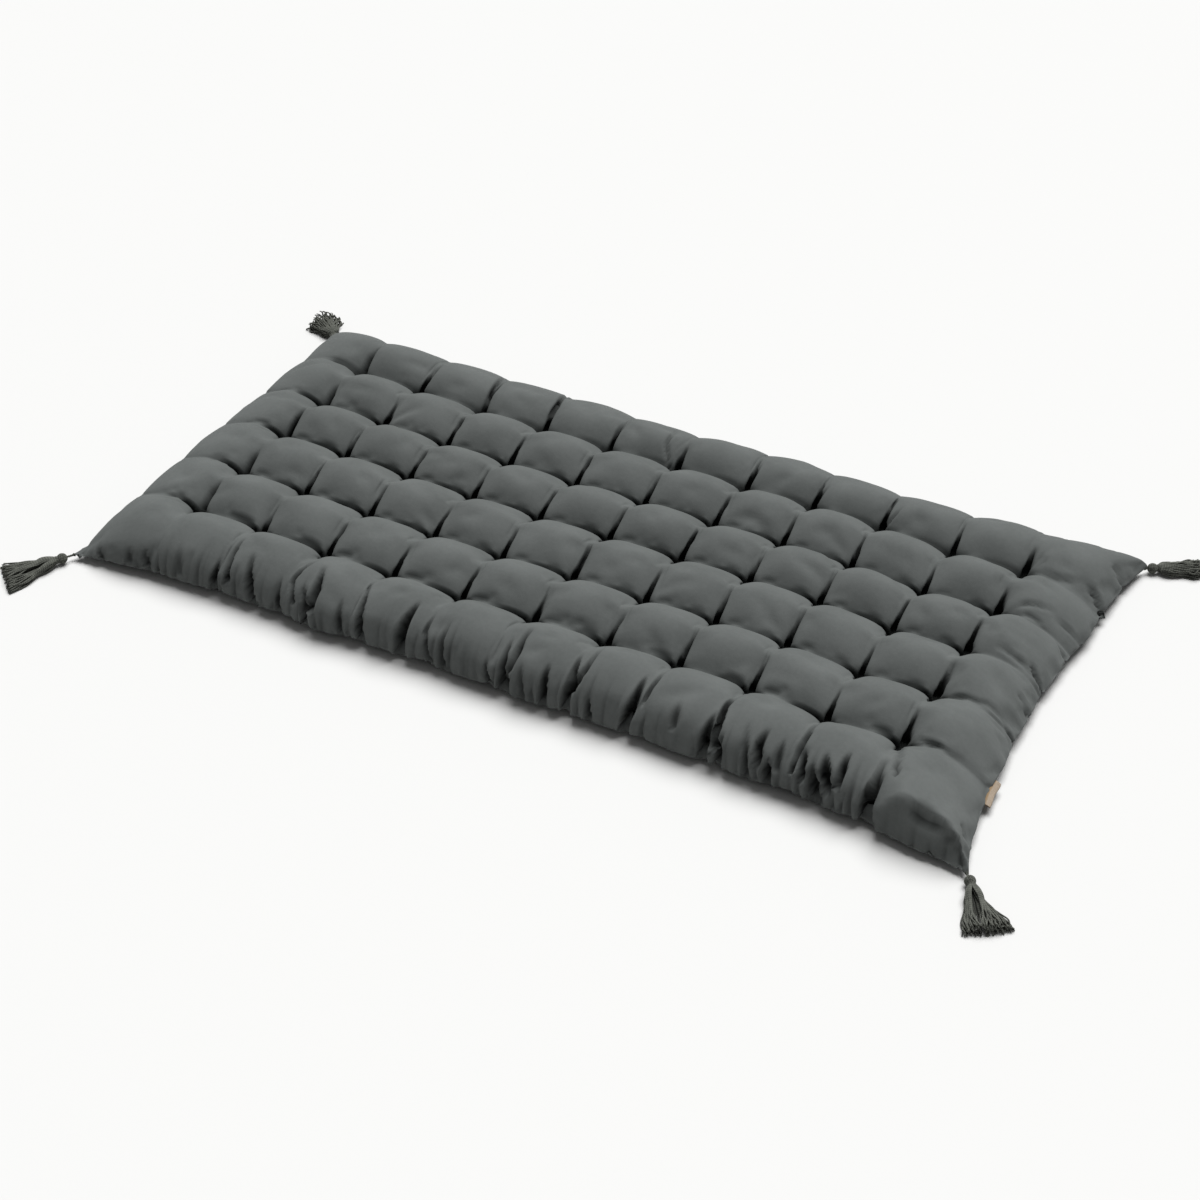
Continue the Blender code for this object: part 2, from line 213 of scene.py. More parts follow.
def yarnMaterial():
    material, tree = newMaterial("two_ply_cotton_yarn")
    yarn = addNode(tree, "UVMap", {"uv_map": "cloth"}).outputs[0]  # u metres along, v once around
    split = addNode(tree, "SeparateXYZ", {}, {}, {0: yarn})
    perMetre = 1 / (yarnFinish["twistMm"] * mm) / 2
    turnLinks = {0: split.outputs[0], 2: split.outputs[1]}
    turns = addNode(tree, "Math", {"operation": "MULTIPLY_ADD"}, {1: perMetre}, turnLinks)
    angle = addNode(tree, "Math", {"operation": "MULTIPLY"}, {1: 2 * math.tau}, {0: turns.outputs[0]})
    ply = addNode(tree, "Math", {"operation": "SINE"}, {}, {0: angle.outputs[0]}).outputs[0]
    height = addNode(tree, "MapRange", {}, {"From Min": -1}, {"Value": ply}).outputs[0]
    place = addNode(tree, "TexCoord").outputs["Object"]
    hairFacts = {"Scale": 900.0, "Detail": 4.0, "Roughness": 0.7}
    hairs = addNode(tree, "TexNoise", {}, hairFacts, {"Vector": place}).outputs["Fac"]
    shades = addNode(tree, "TexNoise", {}, {"Scale": 140.0, "Detail": 2.0}, {"Vector": place}).outputs["Fac"]
    # The colour follows the twist: painted shade in the grooves between the plies, mixed with a random tone
    mixed = addNode(tree, "Mix", {"data_type": "FLOAT"}, {"Factor": 0.6}, {2: height, 3: shades}).outputs[0]
    # Painted shade: each yarn darker by its inner share, how deep it lies among the others
    colour = darkened(tree, dyeShades(tree, mixed, yarnFinish), "inner", yarnFinish["innerPaintedShadeColour"])
    twist = addNode(tree, "Bump", {}, {"Strength": 0.6, "Distance": 0.35 * mm}, {"Height": height})
    fuzzLinks = {"Height": hairs, "Normal": twist.outputs[0]}
    fuzz = addNode(tree, "Bump", {}, {"Strength": 0.5, "Distance": 0.2 * mm}, fuzzLinks)
    finishMaterial(tree, colour, fuzz.outputs[0], yarnFinish["roughness"], 0.2, "#9A9B94")
    return material


cotton, yarn = cottonMaterial(), yarnMaterial()
print("cotton and yarn materials made")


# The mattress: the cover and its filling in one closed shape, on the same outline as the frame's
cellsLong, cellsWide = 12, 6  # places on it are counted in cells from the front left corner, along and across
mattress = {
    "centre": (-17.5 * mm, 21.5 * mm),
    "pitch": 97 * mm,
    "halfSize": (590 * mm, 291 * mm),
    "heights": (37 * mm, 45 * mm, 65 * mm, 72 * mm),  # pit, saddles between rows and between columns, crest
    "underHeights": (15 * mm, 8 * mm, 8 * mm, -6 * mm),
    "seamHeight": 14 * mm,
    "scallop": 3 * mm,
    "sharpness": (3.2, 1.15, 1.95),  # of creases across, and of those along: between cells, and on the cells
    "saddleRound": (0.14, 0.03),  # how wide the creases open between tufts: between columns, between rows
    "wallOpening": (0.4, 0.004),  # what is left of that down in a wall, and the least there is, in cells
    "fadeSoon": 0.75,  # under 1, the creases fade sooner on their way out to the seam
    "lean": (0.26, 1.5),  # how much less upright the front is at its left end, and its foot rounder with it
    "earSharpness": 6,
    "steps": (42, 26),  # in an inner cell, along and across
    "wallSteps": (34, 28),  # in an outer cell, down to the seam
    "wallSize": (0.105, 0.06),  # about how far an outer cell reaches out and falls, in metres
    "gather": (0.35, 0.45),  # how much closer together the steps are at the tufts
}
walls = {  # how upright, how far the creases run on, how round at the foot, and how many mm they bulge
    "front": (4.4, 0.8, 0.5, 8), "back": (2.8, 0.35, 0.5, 3),
    "left": (2.1, 0.08, 0.55, 6), "right": (2.1, 0.4, 0.85, 0),
}
swell = {  # mm outward at the middle of each cell
    "front": (12, 7, 4, 13, 6, 7, 12, 9, 11, 15, 16, 30),
    "back": (4, 0, 0, -2, 2, -9, -2, 4, -2, -6, 6, 5),
    "left": (-13, -9, -5, -8, -7, -10),
    "right": (3, 0, -7, -8, -1, -4),
}
ears = {  # mm along, mm across, mm height, thinning, and how full the cover stands before the tip
    "frontLeft": (8, 23, 8, 0.6, 0),
    "frontRight": (35, 45, 7, 0.5, 0.1),
    "backRight": (12, 44, 9, 0.15, 0.5),
    "backLeft": (11, 23, 8.5, 0.15, 0.22),
}
ridge = {  # the edge at the front right corner, in cells, and its height in mm
    "along": (11, 11.14, 11.28, 11.55, 11.76, 11.88, 11.95, 12),
    "across": (0.12, 0.125, 0.14, 0.185, 0.16, 0.12, 0.07, 0.03),
    "height": (66, 66, 66, 62, 54, 43, 26, 11),
    "hollow": 1.25,  # of the face under it, 1 is flat
    "behind": 0.5,  # cells over which the top comes down to it
    "from": 11.15, "over": 0.22,  # where it starts to rise out of the round wall, in cells along
}
# How far each line of tufts strays from its place, in mm along and in mm across
columnDrift = ((2, -2, 0, -2, -1, 0, 3, 0, -2, 2, -1), (2, 1, -3, -3, -3, 1, 2, 5, 4, -5, -2))
rowDrift = ((1, 0, -2, 1, 0), (-3, 1, 5, -1, -2))


def eased(share):
    return share * share * (3 - 2 * share)


def tableAt(table, place):
    return np.interp(place, np.arange(len(table)), table) * mm


def sided(place, cells, before, after):
    return np.where(place < cells / 2, before, after)


def sideShare(place, cells):
    return np.maximum(0, np.maximum(1 - place, place - (cells - 1)))


def rimShare(along, across):  # 0 over the tufts, 1 at the seam
    return np.maximum(sideShare(along, cellsLong), sideShare(across, cellsWide))


def atSeam(along, across):
    return rimShare(along, across) > 0.9999


def nearTufts(along, across):  # which places have a tuft at their nearest corner of a cell, and how far off
    inner = (along > 0.5) & (along < cellsLong - 0.5) & (across > 0.5) & (across < cellsWide - 0.5)
    return inner, np.hypot(along - np.rint(along), across - np.rint(across)) * mattress["pitch"]


def cornerShare(place, cells):
    return np.abs(2 * place / cells - 1)


def seamOffset(side, place, cells):
    wave = mattress["scallop"] * (np.abs(np.sin(math.pi * place)) - 0.6)
    return tableAt(swell[side], place - 0.5) + wave * np.minimum(1, np.minimum(place, cells - place) / 0.8)


def earFact(along, across, index):
    atLeft = sided(across, cellsWide, ears["frontLeft"][index], ears["backLeft"][index])
    atRight = sided(across, cellsWide, ears["frontRight"][index], ears["backRight"][index])
    return sided(along, cellsLong, atLeft, atRight)


def spread(place, cells, reach):
    inside = np.clip(place, 1, cells - 1) - cells / 2
    lastTuft = (cells / 2 - 1) * mattress["pitch"]
    outside = np.sign(place - cells / 2) * sideShare(place, cells)
    return inside * mattress["pitch"] + outside * (reach - lastTuft)


def planPoint(along, across):
    sharp = mattress["earSharpness"]
    nearEnd, nearEdge = cornerShare(along, cellsLong) ** (2 * sharp), cornerShare(across, cellsWide) ** sharp
    atEnds = (seamOffset(side, across, cellsWide) for side in ("left", "right"))
    atEdges = (seamOffset(side, along, cellsLong) for side in ("front", "back"))
    endOffset, edgeOffset = sided(along, cellsLong, *atEnds), sided(across, cellsWide, *atEdges)
    reachX = mattress["halfSize"][0] + endOffset * (1 - nearEdge) + earFact(along, across, 0) * mm * nearEdge
    reachY = mattress["halfSize"][1] + edgeOffset * (1 - nearEnd) + earFact(along, across, 1) * mm * nearEnd
    fade = np.minimum(1, np.minimum(along, cellsLong - along))
    fade = fade * np.minimum(1, np.minimum(across, cellsWide - across))
    shiftX = (tableAt(columnDrift[0], along - 1) + tableAt(rowDrift[0], across - 1)) * fade
    shiftY = (tableAt(columnDrift[1], along - 1) + tableAt(rowDrift[1], across - 1)) * fade
    return spread(along, cellsLong, reachX) + shiftX, spread(across, cellsWide, reachY) + shiftY


def offLine(place, cells):  # cells to the nearest line of tufts, 0.5 at most
    outer = sideShare(place, cells)
    inner = np.abs(place - np.rint(place))
    return np.where(outer > 0, np.minimum(outer, 0.5), inner)


def puff(place, cells, other, otherCells, roundness, sharpness):
    wallShare, least = mattress["wallOpening"]
    inWall = np.where(sideShare(other, otherCells) > 0, wallShare, 1)
    opening = roundness * inWall * np.sin(math.pi * offLine(other, otherCells)) ** 2 + least
    off = np.sqrt(offLine(place, cells) ** 2 + opening ** 2) - opening
    off = off / (np.sqrt(0.25 + opening ** 2) - opening)
    return 1 - (1 - off) ** sharpness


def creaseFade(place, cells, before, after):
    runOn = sided(place, cells, walls[before][1], walls[after][1])
    return 1 - sideShare(place, cells) ** mattress["fadeSoon"] * (1 - runOn)


def wallDrop(place, cells, before, after, lean=0):
    upright, foot = (sided(place, cells, walls[before][fact], walls[after][fact]) for fact in (0, 2))
    upright, foot = upright * (1 - lean), foot * (1 + mattress["lean"][1] * lean)
    return np.maximum(0, 1 - sideShare(place, cells) ** upright) ** foot


# At the front right corner the front is a steep hollow face under an edge, where it is round elsewhere
def ridgeHeight(along, across, seam, z):
    edge = np.interp(along, ridge["along"], ridge["across"])
    top = np.interp(along, ridge["along"], ridge["height"]) * mm
    face = seam + (top - seam) * np.minimum(1, across / edge) ** ridge["hollow"]
    behind = top + (z - top) * eased(np.clip((across - edge) / ridge["behind"], 0, 1))
    strength = eased(np.clip((along - ridge["from"]) / ridge["over"], 0, 1)) * (across < 1)
    return z + (np.where(across < edge, face, behind) - z) * strength


def coverPoint(along, across, isTop):
    x, y = planPoint(along, across)
    columnRound, rowRound = mattress["saddleRound"]
    sharpX, sharpBetween, sharpY = mattress["sharpness"]
    fadeX = creaseFade(across, cellsWide, "front", "back")
    fadeY = creaseFade(along, cellsLong, "left", "right")
    outX, outY = sideShare(along, cellsLong), sideShare(across, cellsWide)
    puffX = 1 - (1 - puff(along, cellsLong, across, cellsWide, columnRound, sharpX)) * fadeX
    puffY = 1 - (1 - puff(across, cellsWide, along, cellsLong, rowRound, sharpY)) * fadeY
    between = 1 - (1 - puff(across, cellsWide, along, cellsLong, rowRound, sharpBetween)) * fadeY
    sharp = mattress["earSharpness"]
    nearTip = cornerShare(along, cellsLong) ** (2 * sharp) * cornerShare(across, cellsWide) ** sharp
    lean = mattress["lean"][0] * (1 - along / cellsLong) * (across < cellsWide / 2)
    drop = wallDrop(along, cellsLong, "left", "right") * wallDrop(across, cellsWide, "front", "back", lean)
    drop = drop * (1 - earFact(along, across, 3) * nearTip)
    drop = drop ** (1 - earFact(along, across, 4) * outX * outY)
    seam = mattress["seamHeight"] + (earFact(along, across, 2) * mm - mattress["seamHeight"]) * nearTip
    pit, rowSaddle, columnSaddle, crest = mattress["heights"] if isTop else mattress["underHeights"]
    onColumn, onPillow = pit + (columnSaddle - pit) * between, rowSaddle + (crest - rowSaddle) * puffY
    height = onColumn + (onPillow - onColumn) * puffX
    z = seam + (height - seam) * drop
    if isTop:
        z = ridgeHeight(along, across, seam, z)
        bulge = np.sin(math.pi * drop) * mm
        x = x + np.sign(x) * bulge * sided(along, cellsLong, walls["left"][3], walls["right"][3]) * outX ** 2
        y = y + np.sign(y) * bulge * sided(across, cellsWide, walls["front"][3], walls["back"][3]) * outY ** 2
    else:  # the right seam is at the height the edge above gives it
        lift = ridgeHeight(np.full_like(z, cellsLong), across, seam, seam) - seam
        z = np.maximum(z + lift * outX * (along > cellsLong / 2) * (1 - drop), 0)
    return np.stack([x + mattress["centre"][0], y + mattress["centre"][1], z], axis=-1)


def stepPlaces(cells, steps, wallSteps, gather):
    share = np.arange(steps) / steps
    closer = share - gather * np.sin(math.tau * share) / math.tau
    inner = np.concatenate([cell + closer for cell in range(1, cells - 1)] + [[cells - 1]])
    profile = np.linspace(0, 1, 300)  # an outer cell's steps are even down the wall
    out, down = mattress["wallSize"]
    fall = np.hypot(np.diff(profile) * out, np.diff(down * np.sqrt(1 - profile ** 3)))
    depths = np.concatenate([[0], np.cumsum(fall)])
    outer = np.interp(np.linspace(0, fall.sum(), wallSteps + 1)[1:], depths, profile)
    return np.concatenate([1 - outer[::-1], inner, cells - 1 + outer])


alongPlaces = stepPlaces(cellsLong, mattress["steps"][0], mattress["wallSteps"][0], mattress["gather"][0])
acrossPlaces = stepPlaces(cellsWide, mattress["steps"][1], mattress["wallSteps"][1], mattress["gather"][1])


def clothLengths(points):
    return np.concatenate([[0], np.cumsum(np.linalg.norm(np.diff(points, axis=0), axis=1))])


clothAlong = clothLengths(coverPoint(alongPlaces, np.full_like(alongPlaces, 2.5), True))
clothAcross = clothLengths(coverPoint(np.full_like(acrossPlaces, 5.5), acrossPlaces, True))


def clothPlace(along, across):
    u, v = np.interp(along, alongPlaces, clothAlong), np.interp(across, acrossPlaces, clothAcross)
    return np.stack([u, v], axis=-1)


clothFacts = "along", "across", "isTop"  # kept at each point of the cover, the first two in cells


# A panel of the cover on every step, or on every second one
def addPanel(name, isTop, every=1):
    alongSteps, acrossSteps = alongPlaces[::every], acrossPlaces[::every]
    counts = len(alongSteps), len(acrossSteps)
    bpy.ops.mesh.primitive_grid_add(x_subdivisions=counts[0] - 1, y_subdivisions=counts[1] - 1, size=2)
    panel = bpy.context.object
    panel.name = panel.data.name = name
    mesh = panel.data
    steps = np.rint((placesOf(mesh)[:, :2] + 1) / 2 * (np.array(counts) - 1)).astype(int)
    along, across = alongSteps[steps[:, 0]], acrossSteps[steps[:, 1]]
    setPlaces(mesh, coverPoint(along, across, isTop))
    for fact, values in zip(clothFacts, (along, across, np.full(len(along), float(isTop)))):
        setFact(mesh, fact, values)
    layCloth(mesh, clothPlace(along, across))
    return panel


# The filling swells the cover between its tufts and its seam: simulated on every second step of the cloth
swelling = {
    "frames": 16,
    "looseness": 0.03,  # how much more cloth there is than the first shape needs
    "frontLooseness": 0.08,
    "tuftRadius": 3.5 * mm,  # what a tuft holds
    "cap": 3 * mm,  # the furthest that the cloth may move
    "cloth": {
        "quality": 5, "mass": 0.15, "tension_stiffness": 15, "compression_stiffness": 15,
        "shear_stiffness": 5, "bending_stiffness": 0.05, "air_damping": 2,
        "use_pressure": True, "uniform_pressure_force": 4.0,
    },
}


def swellCover(panel):
    mesh = panel.data
    along, across = factOf(mesh, "along"), factOf(mesh, "across")
    before = placesOf(mesh)
    inside, offTuft = nearTufts(along, across)
    held = atSeam(along, across) | (inside & (offTuft < swelling["tuftRadius"]))
    pins = panel.vertex_groups.new(name="held")
    pins.add(np.nonzero(held)[0].tolist(), 1, "REPLACE")
    loose = panel.vertex_groups.new(name="loose")
    for index in np.nonzero(across < 1)[0].tolist():
        loose.add([index], float(1 - across[index]), "REPLACE")
    cloth = panel.modifiers.new("swell", "CLOTH")
    facts = cloth.settings
    for name, value in swelling["cloth"].items():
        setattr(facts, name, value)
    facts.effector_weights.gravity = 0
    facts.vertex_group_mass = "held"
    facts.vertex_group_shrink = "loose"
    facts.shrink_min = -swelling["looseness"]
    facts.shrink_max = -swelling["frontLooseness"]
    cloth.collision_settings.use_collision = False
    cloth.point_cache.frame_start = 1
    cloth.point_cache.frame_end = swelling["frames"] + 1
    for step in range(1, swelling["frames"] + 1):
        bpy.context.scene.frame_set(step)
    bpy.context.view_layer.objects.active = panel
    bpy.ops.object.modifier_apply(modifier=cloth.name)
    bpy.context.scene.frame_set(1)
    moved = placesOf(mesh) - before
    distance = np.linalg.norm(moved, axis=1)
    capped = swelling["cap"] * np.tanh(distance / swelling["cap"])
    return moved * (capped / np.maximum(distance, 1e-9))[:, None], along, across


def carryMoves(mesh, moved, along, across):
    columns, rows = alongPlaces[::2], acrossPlaces[::2]
    order = np.searchsorted(columns, along - 1e-4) * len(rows) + np.searchsorted(rows, across - 1e-4)
    grid = np.empty((len(columns), len(rows), 3))
    grid.reshape(-1, 3)[order] = moved
    fineAlong, fineAcross = factOf(mesh, "along"), factOf(mesh, "across")
    spots = []
    for steps, place in ((columns, fineAlong), (rows, fineAcross)):
        before = np.clip(np.searchsorted(steps, place - 1e-4) - 1, 0, len(steps) - 2)
        share = (place - steps[before]) / (steps[before + 1] - steps[before])
        spots.append((before, np.clip(share, 0, 1)[:, None]))
    (i, right), (j, far) = spots
    near = grid[i, j] * (1 - right) + grid[i + 1, j] * right
    farther = grid[i, j + 1] * (1 - right) + grid[i + 1, j + 1] * right
    setPlaces(mesh, placesOf(mesh) + near * (1 - far) + farther * far)


top = addPanel("coverTop", True)
trial = addPanel("swellingCloth", True, 2)
carryMoves(top.data, *swellCover(trial))
bpy.data.objects.remove(trial)
print("cover swelled, highest point", round(float(placesOf(top.data)[:, 2].max()) / mm, 1), "mm")


# The underside lies on the floor and is drawn in by the same tufts; its edge gets the top's every step
under = addPanel("coverUnder", False, 2)
bpy.ops.object.mode_set(mode="EDIT")
bpy.ops.mesh.select_all(action="SELECT")
bpy.ops.mesh.flip_normals()
bpy.ops.mesh.select_all(action="DESELECT")
bpy.ops.mesh.select_mode(type="EDGE")
bpy.ops.mesh.select_non_manifold(
    extend=False, use_wire=False, use_multi_face=False, use_non_contiguous=False, use_verts=False,
)
bpy.ops.mesh.subdivide(number_cuts=1)
bpy.ops.object.mode_set(mode="OBJECT")
along, across = factOf(under.data, "along"), factOf(under.data, "across")
onEdge = atSeam(along, across)
along = np.where(onEdge, alongPlaces[np.abs(along[:, None] - alongPlaces).argmin(axis=1)], along)
across = np.where(onEdge, acrossPlaces[np.abs(across[:, None] - acrossPlaces).argmin(axis=1)], across)
setPlaces(under.data, np.where(onEdge[:, None], coverPoint(along, across, False), placesOf(under.data)))
bpy.ops.object.select_all(action="DESELECT")
under.select_set(True)
top.select_set(True)
bpy.context.view_layer.objects.active = top
bpy.ops.object.join()
cover = bpy.context.object
cover.name = cover.data.name = "cotton_cover"
bpy.ops.object.mode_set(mode="EDIT")
bpy.ops.mesh.select_mode(type="VERT")
bpy.ops.mesh.select_all(action="SELECT")
bpy.ops.mesh.remove_doubles(threshold=0.01 * mm)
bpy.ops.mesh.normals_make_consistent(inside=False)
bpy.ops.mesh.select_all(action="DESELECT")
bpy.ops.mesh.select_non_manifold()
bpy.ops.object.mode_set(mode="OBJECT")
cover.vertex_groups.clear()
openPlaces = sum(vertex.select for vertex in cover.data.vertices)
triangles = sum(len(face.vertices) - 2 for face in cover.data.polygons)
print("cover closed,", triangles, "triangles,", openPlaces, "open places")


# Folds, each a line of (along, across) places in cells, with its half width and depth in mm
frontFolds = [
    ([(0.7, 0.12), (0.73, 0.02)], 5, 3), ([(0.87, 0.14), (0.93, 0.02)], 4, 5),
    ([(1.38, 0.18), (1.42, 0.02)], 5, 3), ([(1.95, 0.18), (1.92, 0)], 5, 8),
    ([(2.09, 0.5), (2.09, 0.27), (2.12, 0.06)], 4, 9), ([(2.37, 0.34), (2.41, 0.18), (2.55, 0)], 5, 8),
    ([(2.88, 0.22), (2.91, 0)], 5, 6), ([(3.2, 0.6), (3.09, 0.38), (3.04, 0.24), (3.13, 0.08)], 3.5, 7),
    ([(3.34, 0.5), (3.42, 0.25), (3.43, 0.08)], 4.5, 10), ([(3.22, 0.22), (3.32, 0.1), (3.37, 0)], 5, 10),
    ([(3.79, 0.22), (3.87, 0)], 5, 6), ([(4.01, 0.55), (4.09, 0.2), (4.15, 0)], 4.5, 9),
    ([(4.78, 0.42), (4.73, 0.18), (4.7, 0)], 5.5, 12), ([(5.04, 0.42), (5.01, 0.17), (5.13, 0)], 4, 4),
    ([(5.29, 0.34), (5.27, 0.12), (5.33, 0)], 4.5, 4), ([(6.13, 0.34), (6.17, 0)], 5, 9),
    ([(5.9, 0.1), (6, 0)], 4, 6), ([(6.27, 0.58), (6.28, 0.32), (6.27, 0.1)], 3.5, 8),
    ([(6.24, 0.13), (6.26, 0)], 4, 8), ([(6.39, 0.18), (6.47, 0)], 4.5, 5),
    ([(6.72, 0.22), (6.76, 0)], 5, 8), ([(7, 0.42), (7.07, 0.16), (7.06, 0)], 5.5, 12),
    ([(7.21, 0.62), (7.18, 0.28), (7.14, 0.1)], 3.5, 7), ([(7.31, 0.1), (7.39, 0)], 4, 6),
    ([(7.91, 0.4), (7.91, 0.13), (7.85, 0)], 5.5, 12), ([(8.08, 0.66), (8.05, 0.35), (8.03, 0.18)], 3, 6),
    ([(8.47, 0.26), (8.49, 0.08)], 5, 4), ([(8.93, 0.27), (8.9, 0)], 6, 11),
    ([(9.06, 0.66), (9, 0.38), (9.03, 0.18), (9.04, 0.05)], 4.5, 10), ([(9.13, 0.14), (9.11, 0)], 4.5, 8),
    ([(9.62, 0.3), (9.59, 0.16), (9.63, 0.05)], 4.5, 8), ([(9.73, 0.1), (9.78, 0)], 5, 8),
    ([(9.35, 0.32), (9.52, 0)], 5, 4), ([(9.84, 0.27), (9.87, 0.05)], 5, 5),
    ([(10.04, 0.8), (10.07, 0.36), (10.07, 0.08)], 3.5, 9), ([(10.13, 0.26), (10.2, 0.05)], 4, 8),
    ([(10.29, 0.14), (10.41, 0)], 6, 11), ([(10.39, 0.26), (10.52, 0.04)], 6, 9),
    ([(10.65, 0.36), (10.65, 0.08)], 4, 9), ([(11.04, 0.5), (11.05, 0.23), (11.07, 0.08)], 3.5, 8),
    ([(11, 0.2), (11.05, 0)], 6, 12), ([(11.09, 0.65), (11.2, 0.34)], 3, 5),
]
sideFolds = [  # softer ones: in from the right side, from the last tufts to the back, and at the left
    ([(11.22, 5.04), (11.45, 5.06), (11.7, 5.15)], 6, 4), ([(11.62, 5.18), (11.8, 5.16), (12, 5.04)], 5, 8),
    ([(11.13, 4.04), (11.3, 4.17), (11.56, 4.28), (11.68, 4.34)], 5, 4), ([(11.66, 4.22), (12, 4.27)], 4, 4),
    ([(11.3, 3.14), (11.58, 3.14), (11.8, 3.14)], 7, 5), ([(11.7, 3.26), (11.85, 3.14), (12, 3.08)], 5, 8),
    ([(11.15, 2.01), (11.4, 2.04)], 5, 3), ([(11.45, 2.07), (11.64, 2.11), (11.78, 2.09)], 6, 3),
    ([(11.72, 2.66), (12, 2.54)], 4, 4), ([(11.8, 3.95), (12, 3.84)], 4, 4),
    ([(11.8, 2.08), (12, 1.98)], 5, 4), ([(11.08, 5.08), (11.18, 5.18), (11.3, 5.15)], 3, 3),
    ([(11.05, 5.06), (11.16, 5.4)], 3, 3), ([(11.74, 5.64), (12, 5.54)], 4, 4),
    ([(11.1, 1.1), (11.3, 1.02), (11.55, 1.05)], 5, 3),
    ([(5.98, 4.98), (5.83, 5.1), (5.74, 5.25), (5.74, 5.45), (5.66, 5.72)], 3, 7),
    ([(6, 4.98), (5.96, 5.18)], 3.5, 6), ([(2, 5), (2.06, 5.3), (2.09, 5.56)], 3.5, 8),
    ([(3, 5), (2.99, 5.24), (2.97, 5.5), (2.86, 5.84)], 4, 9),
    ([(4, 5), (3.98, 5.22), (3.98, 5.45), (3.84, 5.9)], 4.5, 11), ([(5, 5), (5, 5.22), (4.99, 5.46)], 4, 8),
    ([(7, 5), (7.04, 5.18), (7.08, 5.4)], 3.5, 7), ([(8, 5), (8.04, 5.2), (8.1, 5.36)], 3, 5),
    ([(9, 5), (9.1, 5.16), (9.17, 5.36)], 3, 6), ([(0.28, 0.14), (0.33, 0.05), (0.38, 0)], 4, 6),
    ([(0.7, 0.07), (0.73, 0)], 3, 3), ([(0.45, 0.87), (0.72, 0.88), (0.95, 0.96)], 5, 3),
    ([(0.5, 1.9), (0.75, 1.93), (0.95, 1.98)], 5, 2), ([(0.56, 2.86), (0.8, 2.88), (0.95, 2.96)], 5, 3),
]
cornerFolds = [  # at the front right: the hollow under the edge, the notch by the tip, a crease from the tuft
    ([(11.4, 0.12), (11.6, 0.14), (11.8, 0.11), (11.9, 0.07), (11.96, 0.02)], 4, 6),
    ([(11.88, 0.32), (11.95, 0.27), (12, 0.25)], 3, 5),
    ([(11.03, 0.9), (11.08, 0.7), (11.18, 0.52), (11.3, 0.42)], 3.5, 7),
]
folding = {  # how each kind of fold fades at its ends, in shares of its length, its lip and how steep it is
    "deep": {"opening": 0.6, "closing": 0, "steep": 2.2},
    "shallow": {"opening": 0.6, "closing": 0, "steep": 1.6},
    "side": {"opening": 0.35, "closing": 0.35},
    "corner": {"opening": 0.05, "closing": 0.5},
    "tuck": {"opening": 0.12, "closing": 0.85, "lip": 0, "steep": 1.7},
    "pucker": {"opening": 0.3, "closing": 0.7, "lip": 0},
    "ripple": {"opening": 0.8, "closing": 0},
    "deepOver": 7,  # mm; the front's folds deeper than this open into dark wedges with sharp edges
    "gain": {"deep": (1.25, 2.2), "shallow": (1.1, 1.7)},  # times the front folds' widths and depths
    "tip": 0.3, "valley": 1.1,  # how narrow a fold gets where it fades, and how hollow its sides are
    "lipAt": 1.5, "lipWide": 0.6,  # the full cloth beside it, in half widths of the fold
    "hem": 0.93,  # how far out the underside starts to follow the folds, 1 is the seam
    "tuckShade": 1.3, "pitShade": 1.8, "darkAt": 11 * mm,  # how much deeper tucks and pits count, and how deep the cloth has to lie, for the painted crease shade to be black
}
tucks = {  # at each tuft: the crease towards the back, the short one towards the front, and the two sideways
    "seed": 11,
    "ways": [  # cells along and across, half width and depth in mm
        ((0.02, 0.48), 4.2, 21), ((-0.01, -0.20), 4.6, 14), ((-0.58, 0.01), 3.6, 12), ((0.24, 0.0), 3.4, 9),
    ],
    "vary": 0.25, "lean": (-0.012, 0.02),
    "puckers": 6, "puckerMm": (9, 22), "puckerWidthMm": 2.2, "puckerDepthMm": (0.5, 1.5),
}
ripples = {  # the fine gathers that the seam draws in
    "seed": 3,
    "front": {"perCell": (6, 9), "reach": (0.08, 0.42), "widthMm": (2.8, 5.5), "depthMm": (1.5, 6.2)},
    "back": {"perCell": (3, 6), "reach": (0.05, 0.25), "widthMm": (2.6, 5), "depthMm": (0.8, 3)},
}


def tuftDistance(mesh):
    along, across, isTop = (factOf(mesh, fact) for fact in clothFacts)
    inside, offTuft = nearTufts(along, across)
    return np.where(inside & (isTop > 0.5), offTuft, 1)


# How far the cloth goes in at each place, for one fold: sharp at its line, with full cloth beside it
def foldHeight(cloth, line, width, depth, opening, closing, lip=0.08, steep=1):
    route = clothPlace(np.array([p[0] for p in line]), np.array([p[1] for p in line]))
    total = np.linalg.norm(np.diff(route, axis=0), axis=1).sum()
    near = np.full(len(cloth), 1e9)
    share = np.zeros(len(cloth))
    done = 0
    for start, end in zip(route, route[1:]):
        leg = end - start
        size = np.linalg.norm(leg)
        run = np.clip((cloth - start) @ leg / size ** 2, 0, 1)
        off = np.linalg.norm(cloth - (start + run[:, None] * leg), axis=1)
        closer = off < near
        near = np.where(closer, off, near)
        share = np.where(closer, (done + run * size) / total, share)
        done += size
    ends = 0 if opening else 1, 0 if closing else 1
    strength = np.interp(share, (0, opening, 1 - closing, 1), (ends[0], 1, 1, ends[1]))
    reach = width * mm * (folding["tip"] + (1 - folding["tip"]) * strength)
    valley = -np.clip(steep * (1 - near / reach), 0, 1) ** folding["valley"]
    lips = lip * np.exp(-((near - folding["lipAt"] * reach) / (folding["lipWide"] * reach)) ** 2)
    return depth * mm * strength * (valley + lips)


